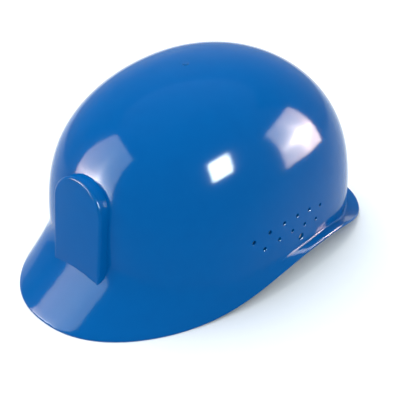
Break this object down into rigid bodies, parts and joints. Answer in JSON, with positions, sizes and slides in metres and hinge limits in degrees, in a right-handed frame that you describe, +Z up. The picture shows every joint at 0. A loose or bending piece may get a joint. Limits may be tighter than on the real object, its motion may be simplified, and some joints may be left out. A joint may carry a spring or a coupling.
{
  "type": "bump cap",
  "caption": "Glossy blue moulded bump cap with a short brim, arched badge plate, side vents and a hanging harness with a nape ratchet.",
  "frame": {"origin": "centre of the cap's outline at the level it rests on", "axes": "+Z up, -Y towards the brim, +X towards the wearer's left"},
  "size_m": [0.1966, 0.29, 0.14],
  "materials": {
    "shell": "glossy moulded polyethylene, mid blue",
    "harness": "satin moulded polyethylene, off-white",
    "webbing": "flat woven polyester webbing",
    "foam": "soft fabric-faced foam",
    "pad_cover": "brushed sweatband fabric over foam",
    "ratchet": "fine textured nylon, black",
    "knob": "satin nylon, black",
    "acetal": "plain moulded acetal",
    "screws": "zinc-plated steel"
  },
  "bodies": {
    "cap": {"shell": "shell", "headband": "harness", "front_left_hanger": "harness", "front_right_hanger": "harness", "rear_left_hanger": "harness", "rear_right_hanger": "harness", "crown_strap_lower": "webbing", "crown_strap_upper": "webbing", "crown_pad": "foam", "brow_pad": "pad_cover"},
    "left_strap": {"left_rack_strap": "harness"},
    "right_strap": {"right_rack_strap": "harness"},
    "ratchet": {"ratchet_housing": "ratchet", "ratchet_cover": "ratchet", "cover_screws": "screws", "nape_pad": "pad_cover"},
    "knob": {"ratchet_knob": "knob", "drive_pinion": "acetal", "pawl_disc": "acetal", "knob_screw": "screws"}
  },
  "joints": [
    {"name": "ratchet_slide", "type": "slide", "parent": "cap", "child": "ratchet", "axis": [0, 1, 0], "range_m": [-0.0075, 0.0075]},
    {"name": "left_strap_hinge", "type": "hinge", "parent": "cap", "child": "left_strap", "pos_m": [0.08, 0.0267, 0.023], "axis": [0, 0, 1], "range_deg": [-5.4, 5.4]},
    {"name": "right_strap_hinge", "type": "hinge", "parent": "cap", "child": "right_strap", "pos_m": [-0.08, 0.0267, 0.023], "axis": [0, 0, 1], "range_deg": [-5.4, 5.4]},
    {"name": "knob_turn", "type": "hinge", "parent": "ratchet", "child": "knob", "pos_m": [0, 0.1122, 0.023], "axis": [0, 1, 0], "range_deg": [-86, 86]}
  ],
  "couplings": [
    {"joint": "left_strap_hinge", "follows": "ratchet_slide", "rad_per_m": -12.5},
    {"joint": "right_strap_hinge", "follows": "ratchet_slide", "rad_per_m": 12.5},
    {"joint": "knob_turn", "follows": "ratchet_slide", "rad_per_m": 200}
  ]
}
